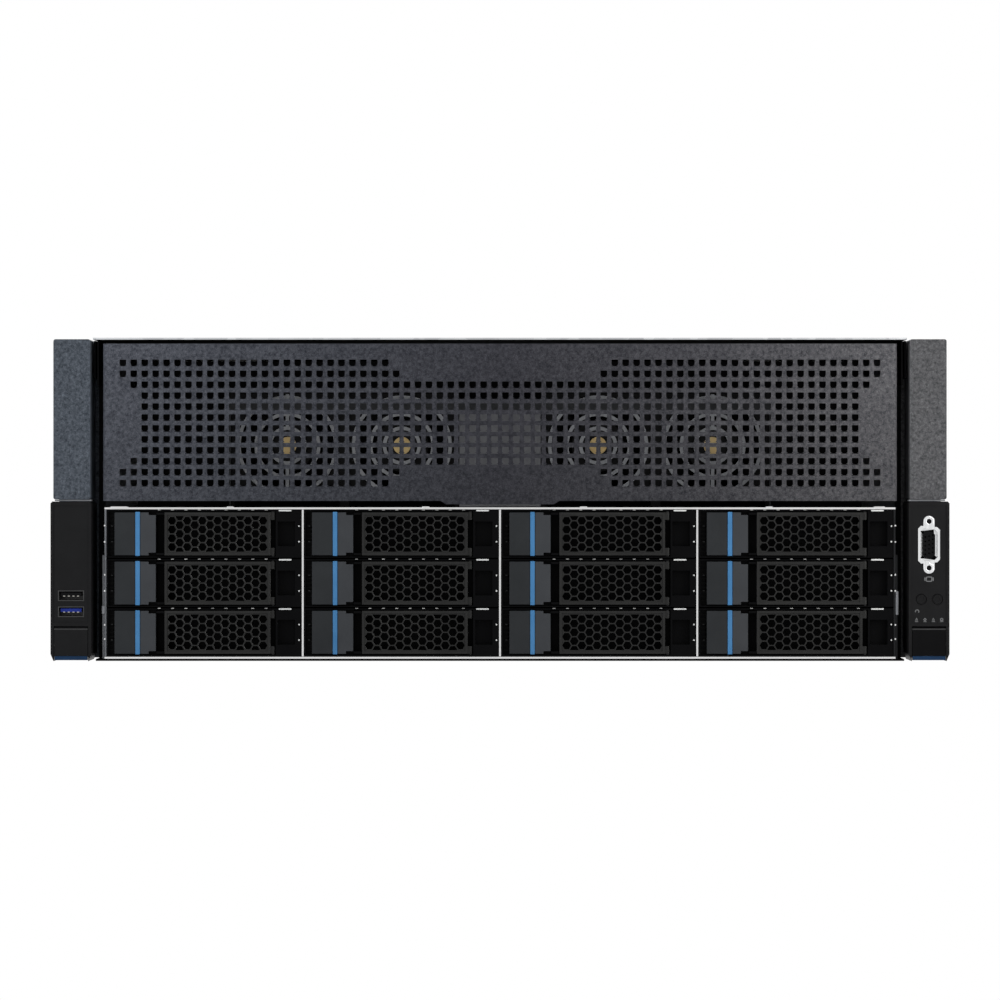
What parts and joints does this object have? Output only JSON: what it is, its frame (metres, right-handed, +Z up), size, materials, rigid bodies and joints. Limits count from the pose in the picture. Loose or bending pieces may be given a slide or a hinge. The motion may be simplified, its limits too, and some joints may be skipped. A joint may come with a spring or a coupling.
{
  "type": "rack server",
  "caption": "Rack server with a perforated intake panel over rows of hot-swap drive trays, rack ears, fans, accelerator cards and power supplies.",
  "frame": {"origin": "middle of the footprint, ears and rear handles included, on the underside of the chassis floor", "axes": "front faces -Y, +X to the right of someone facing the front, +Z up"},
  "size_m": [0.4826, 0.8, 0.174],
  "materials": {
    "galvanised_steel": "satin",
    "bare_steel": "satin",
    "powder_coat": "textured",
    "black_plastic": "matte",
    "tray_plastic": "matte",
    "circuit_board": "satin",
    "card_metal": "satin",
    "psu_steel": "satin"
  },
  "bodies": {
    "chassis": {"chassis_base": "galvanised_steel", "front_panel": "powder_coat", "drive_cage": "bare_steel", "drive_backplane": "circuit_board", "rack_ear_left": "powder_coat", "rack_ear_right": "powder_coat", "usb_module_left": "black_plastic", "vga_module_right": "black_plastic", "fan_carriers": "galvanised_steel", "mainboard": "circuit_board", "gpu_cards": "card_metal"},
    "lid": {"top_cover": "galvanised_steel"},
    "latch_left": {"ear_latch_left": "black_plastic"},
    "latch_right": {"ear_latch_right": "black_plastic"},
    "power_button": {"power_button": "black_plastic"},
    "locator_button": {"locator_button": "black_plastic"},
    "fan_1": {"fan_rotor_1": "black_plastic"},
    "fan_2": {"fan_rotor_2": "black_plastic"},
    "fan_3": {"fan_rotor_3": "black_plastic"},
    "fan_4": {"fan_rotor_4": "black_plastic"},
    "psu_1": {"power_supply_1": "psu_steel"},
    "psu_2": {"power_supply_2": "psu_steel"},
    "psu_3": {"power_supply_3": "psu_steel"},
    "psu_4": {"power_supply_4": "psu_steel"},
    "tray_1": {"drive_tray_1": "tray_plastic"},
    "lever_1": {"tray_lever_1": "tray_plastic"},
    "button_1": {"tray_button_1": "tray_plastic"},
    "tray_2": {"drive_tray_2": "tray_plastic"},
    "lever_2": {"tray_lever_2": "tray_plastic"},
    "button_2": {"tray_button_2": "tray_plastic"},
    "tray_3": {"drive_tray_3": "tray_plastic"},
    "lever_3": {"tray_lever_3": "tray_plastic"},
    "button_3": {"tray_button_3": "tray_plastic"},
    "tray_4": {"drive_tray_4": "tray_plastic"},
    "lever_4": {"tray_lever_4": "tray_plastic"},
    "button_4": {"tray_button_4": "tray_plastic"},
    "tray_5": {"drive_tray_5": "tray_plastic"},
    "lever_5": {"tray_lever_5": "tray_plastic"},
    "button_5": {"tray_button_5": "tray_plastic"},
    "tray_6": {"drive_tray_6": "tray_plastic"},
    "lever_6": {"tray_lever_6": "tray_plastic"},
    "button_6": {"tray_button_6": "tray_plastic"},
    "tray_7": {"drive_tray_7": "tray_plastic"},
    "lever_7": {"tray_lever_7": "tray_plastic"},
    "button_7": {"tray_button_7": "tray_plastic"},
    "tray_8": {"drive_tray_8": "tray_plastic"},
    "lever_8": {"tray_lever_8": "tray_plastic"},
    "button_8": {"tray_button_8": "tray_plastic"},
    "tray_9": {"drive_tray_9": "tray_plastic"},
    "lever_9": {"tray_lever_9": "tray_plastic"},
    "button_9": {"tray_button_9": "tray_plastic"},
    "tray_10": {"drive_tray_10": "tray_plastic"},
    "lever_10": {"tray_lever_10": "tray_plastic"},
    "button_10": {"tray_button_10": "tray_plastic"},
    "tray_11": {"drive_tray_11": "tray_plastic"},
    "lever_11": {"tray_lever_11": "tray_plastic"},
    "button_11": {"tray_button_11": "tray_plastic"},
    "tray_12": {"drive_tray_12": "tray_plastic"},
    "lever_12": {"tray_lever_12": "tray_plastic"},
    "button_12": {"tray_button_12": "tray_plastic"}
  },
  "joints": [
    {"name": "lid_slide", "type": "slide", "parent": "chassis", "child": "lid", "axis": [0, 1, 0], "range_m": [0, 0.016]},
    {"name": "latch_left_hinge", "type": "hinge", "parent": "chassis", "child": "latch_left", "pos_m": [-0.23035, -0.3984, 0.017], "axis": [1, 0, 0], "range_deg": [-80, 0]},
    {"name": "latch_right_hinge", "type": "hinge", "parent": "chassis", "child": "latch_right", "pos_m": [0.23035, -0.3984, 0.017], "axis": [1, 0, 0], "range_deg": [-80, 0]},
    {"name": "power_button_push", "type": "slide", "parent": "chassis", "child": "power_button", "axis": [0, 1, 0], "range_m": [0, 0.0012], "stiffness_N_per_m": 600},
    {"name": "locator_button_push", "type": "slide", "parent": "chassis", "child": "locator_button", "axis": [0, 1, 0], "range_m": [0, 0.0012], "stiffness_N_per_m": 600},
    {"name": "fan_1_spin", "type": "hinge", "parent": "chassis", "child": "fan_1", "pos_m": [-0.1222, -0.235, 0.118], "axis": [0, 1, 0], "continuous": true},
    {"name": "fan_2_spin", "type": "hinge", "parent": "chassis", "child": "fan_2", "pos_m": [-0.0564, -0.235, 0.118], "axis": [0, 1, 0], "continuous": true},
    {"name": "fan_3_spin", "type": "hinge", "parent": "chassis", "child": "fan_3", "pos_m": [0.0564, -0.235, 0.118], "axis": [0, 1, 0], "continuous": true},
    {"name": "fan_4_spin", "type": "hinge", "parent": "chassis", "child": "fan_4", "pos_m": [0.1222, -0.235, 0.118], "axis": [0, 1, 0], "continuous": true},
    {"name": "psu_1_slide", "type": "slide", "parent": "chassis", "child": "psu_1", "axis": [0, 1, 0], "range_m": [0, 0.15]},
    {"name": "psu_2_slide", "type": "slide", "parent": "chassis", "child": "psu_2", "axis": [0, 1, 0], "range_m": [0, 0.15]},
    {"name": "psu_3_slide", "type": "slide", "parent": "chassis", "child": "psu_3", "axis": [0, 1, 0], "range_m": [0, 0.15]},
    {"name": "psu_4_slide", "type": "slide", "parent": "chassis", "child": "psu_4", "axis": [0, 1, 0], "range_m": [0, 0.15]},
    {"name": "tray_1_slide", "type": "slide", "parent": "chassis", "child": "tray_1", "axis": [0, -1, 0], "range_m": [0, 0.15]},
    {"name": "lever_1_hinge", "type": "hinge", "parent": "tray_1", "child": "lever_1", "pos_m": [-0.12225, -0.3918, 0.01545], "axis": [0, 0, 1], "range_deg": [0, 50]},
    {"name": "button_1_push", "type": "slide", "parent": "tray_1", "child": "button_1", "axis": [-1, 0, 0], "range_m": [0, 0.0025], "stiffness_N_per_m": 400},
    {"name": "tray_2_slide", "type": "slide", "parent": "chassis", "child": "tray_2", "axis": [0, -1, 0], "range_m": [0, 0.15]},
    {"name": "lever_2_hinge", "type": "hinge", "parent": "tray_2", "child": "lever_2", "pos_m": [-0.01595, -0.3918, 0.01545], "axis": [0, 0, 1], "range_deg": [0, 50]},
    {"name": "button_2_push", "type": "slide", "parent": "tray_2", "child": "button_2", "axis": [-1, 0, 0], "range_m": [0, 0.0025], "stiffness_N_per_m": 400},
    {"name": "tray_3_slide", "type": "slide", "parent": "chassis", "child": "tray_3", "axis": [0, -1, 0], "range_m": [0, 0.15]},
    {"name": "lever_3_hinge", "type": "hinge", "parent": "tray_3", "child": "lever_3", "pos_m": [0.09035, -0.3918, 0.01545], "axis": [0, 0, 1], "range_deg": [0, 50]},
    {"name": "button_3_push", "type": "slide", "parent": "tray_3", "child": "button_3", "axis": [-1, 0, 0], "range_m": [0, 0.0025], "stiffness_N_per_m": 400},
    {"name": "tray_4_slide", "type": "slide", "parent": "chassis", "child": "tray_4", "axis": [0, -1, 0], "range_m": [0, 0.15]},
    {"name": "lever_4_hinge", "type": "hinge", "parent": "tray_4", "child": "lever_4", "pos_m": [0.19665, -0.3918, 0.01545], "axis": [0, 0, 1], "range_deg": [0, 50]},
    {"name": "button_4_push", "type": "slide", "parent": "tray_4", "child": "button_4", "axis": [-1, 0, 0], "range_m": [0, 0.0025], "stiffness_N_per_m": 400},
    {"name": "tray_5_slide", "type": "slide", "parent": "chassis", "child": "tray_5", "axis": [0, -1, 0], "range_m": [0, 0.15]},
    {"name": "lever_5_hinge", "type": "hinge", "parent": "tray_5", "child": "lever_5", "pos_m": [-0.12225, -0.3918, 0.04195], "axis": [0, 0, 1], "range_deg": [0, 50]},
    {"name": "button_5_push", "type": "slide", "parent": "tray_5", "child": "button_5", "axis": [-1, 0, 0], "range_m": [0, 0.0025], "stiffness_N_per_m": 400},
    {"name": "tray_6_slide", "type": "slide", "parent": "chassis", "child": "tray_6", "axis": [0, -1, 0], "range_m": [0, 0.15]},
    {"name": "lever_6_hinge", "type": "hinge", "parent": "tray_6", "child": "lever_6", "pos_m": [-0.01595, -0.3918, 0.04195], "axis": [0, 0, 1], "range_deg": [0, 50]},
    {"name": "button_6_push", "type": "slide", "parent": "tray_6", "child": "button_6", "axis": [-1, 0, 0], "range_m": [0, 0.0025], "stiffness_N_per_m": 400},
    {"name": "tray_7_slide", "type": "slide", "parent": "chassis", "child": "tray_7", "axis": [0, -1, 0], "range_m": [0, 0.15]},
    {"name": "lever_7_hinge", "type": "hinge", "parent": "tray_7", "child": "lever_7", "pos_m": [0.09035, -0.3918, 0.04195], "axis": [0, 0, 1], "range_deg": [0, 50]},
    {"name": "button_7_push", "type": "slide", "parent": "tray_7", "child": "button_7", "axis": [-1, 0, 0], "range_m": [0, 0.0025], "stiffness_N_per_m": 400},
    {"name": "tray_8_slide", "type": "slide", "parent": "chassis", "child": "tray_8", "axis": [0, -1, 0], "range_m": [0, 0.15]},
    {"name": "lever_8_hinge", "type": "hinge", "parent": "tray_8", "child": "lever_8", "pos_m": [0.19665, -0.3918, 0.04195], "axis": [0, 0, 1], "range_deg": [0, 50]},
    {"name": "button_8_push", "type": "slide", "parent": "tray_8", "child": "button_8", "axis": [-1, 0, 0], "range_m": [0, 0.0025], "stiffness_N_per_m": 400},
    {"name": "tray_9_slide", "type": "slide", "parent": "chassis", "child": "tray_9", "axis": [0, -1, 0], "range_m": [0, 0.15]},
    {"name": "lever_9_hinge", "type": "hinge", "parent": "tray_9", "child": "lever_9", "pos_m": [-0.12225, -0.3918, 0.06845], "axis": [0, 0, 1], "range_deg": [0, 50]},
    {"name": "button_9_push", "type": "slide", "parent": "tray_9", "child": "button_9", "axis": [-1, 0, 0], "range_m": [0, 0.0025], "stiffness_N_per_m": 400},
    {"name": "tray_10_slide", "type": "slide", "parent": "chassis", "child": "tray_10", "axis": [0, -1, 0], "range_m": [0, 0.15]},
    {"name": "lever_10_hinge", "type": "hinge", "parent": "tray_10", "child": "lever_10", "pos_m": [-0.01595, -0.3918, 0.06845], "axis": [0, 0, 1], "range_deg": [0, 50]},
    {"name": "button_10_push", "type": "slide", "parent": "tray_10", "child": "button_10", "axis": [-1, 0, 0], "range_m": [0, 0.0025], "stiffness_N_per_m": 400},
    {"name": "tray_11_slide", "type": "slide", "parent": "chassis", "child": "tray_11", "axis": [0, -1, 0], "range_m": [0, 0.15]},
    {"name": "lever_11_hinge", "type": "hinge", "parent": "tray_11", "child": "lever_11", "pos_m": [0.09035, -0.3918, 0.06845], "axis": [0, 0, 1], "range_deg": [0, 50]},
    {"name": "button_11_push", "type": "slide", "parent": "tray_11", "child": "button_11", "axis": [-1, 0, 0], "range_m": [0, 0.0025], "stiffness_N_per_m": 400},
    {"name": "tray_12_slide", "type": "slide", "parent": "chassis", "child": "tray_12", "axis": [0, -1, 0], "range_m": [0, 0.15]},
    {"name": "lever_12_hinge", "type": "hinge", "parent": "tray_12", "child": "lever_12", "pos_m": [0.19665, -0.3918, 0.06845], "axis": [0, 0, 1], "range_deg": [0, 50]},
    {"name": "button_12_push", "type": "slide", "parent": "tray_12", "child": "button_12", "axis": [-1, 0, 0], "range_m": [0, 0.0025], "stiffness_N_per_m": 400}
  ]
}
